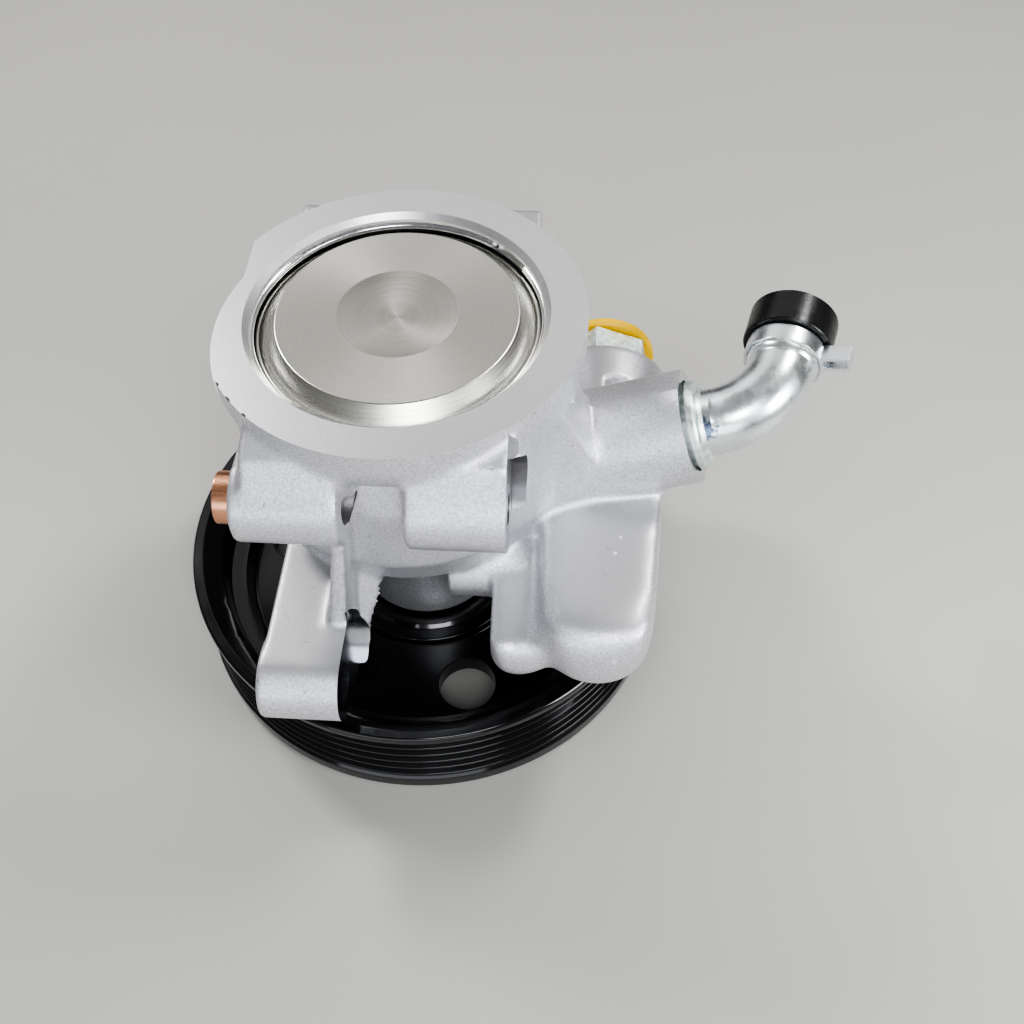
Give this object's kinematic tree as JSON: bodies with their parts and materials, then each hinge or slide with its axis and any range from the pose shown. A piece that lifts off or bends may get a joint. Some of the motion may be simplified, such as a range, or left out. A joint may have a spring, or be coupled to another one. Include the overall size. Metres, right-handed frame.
{
  "type": "power steering pump",
  "caption": "Vane-type power steering pump: cast housing with mounting ears and lug, ribbed belt pulley, side valve housing, inlet elbow and outlet union, ports capped for shipping.",
  "frame": {"origin": "on the shaft axis, in the front plane of the pulley that the pump stands on", "axes": "+Z along the shaft from the pulley to the rear cover; +X from the bushed ear to the inlet; +Y towards the outlet union"},
  "size_m": [0.1609, 0.1248, 0.1026],
  "materials": {
    "cast_aluminium": "blasted casting",
    "turned_cover": "turned, satin",
    "spring_steel": "bright wire",
    "nitrile": "matte",
    "sintered_steel": "ground",
    "hard_steel": "ground",
    "bronze": "plain bearing bronze",
    "black_paint": "gloss black",
    "zinc_hex": "zinc plated",
    "amber_plastic": "moulded",
    "zinc_pipe": "bright zinc plated",
    "black_rubber": "semi-gloss",
    "copper": "copper"
  },
  "bodies": {
    "housing": {"pump_housing": "cast_aluminium", "rear_cover": "turned_cover", "retaining_ring": "spring_steel", "cover_o_ring": "nitrile", "cover_spring": "spring_steel", "pressure_plate": "sintered_steel", "plate_o_ring": "nitrile", "cam_ring": "sintered_steel", "front_plate": "sintered_steel", "dowel_pins": "hard_steel", "rear_bush": "bronze", "front_bush": "bronze", "shaft_seal": "nitrile", "flow_spring": "spring_steel", "outlet_union": "zinc_hex", "union_o_ring": "nitrile", "outlet_cap": "amber_plastic", "inlet_pipe": "zinc_pipe", "inlet_o_ring": "nitrile", "inlet_cap": "black_rubber", "hose_clip": "zinc_pipe", "ear_bush": "copper"},
    "rotating_group": {"pulley": "black_paint", "drive_shaft": "hard_steel", "rotor": "sintered_steel", "vanes": "hard_steel", "rotor_clip": "spring_steel"},
    "spool": {"flow_spool": "hard_steel"}
  },
  "joints": [
    {"name": "pulley_spin", "type": "hinge", "parent": "housing", "child": "rotating_group", "pos_m": [0, 0, 0], "axis": [0, 0, 1], "continuous": true},
    {"name": "spool_slide", "type": "slide", "parent": "housing", "child": "spool", "axis": [0, -1, 0], "range_m": [0, 0.012], "stiffness_N_per_m": 2500, "springref_m": -0.006, "deforming": ["flow_spring"]}
  ]
}
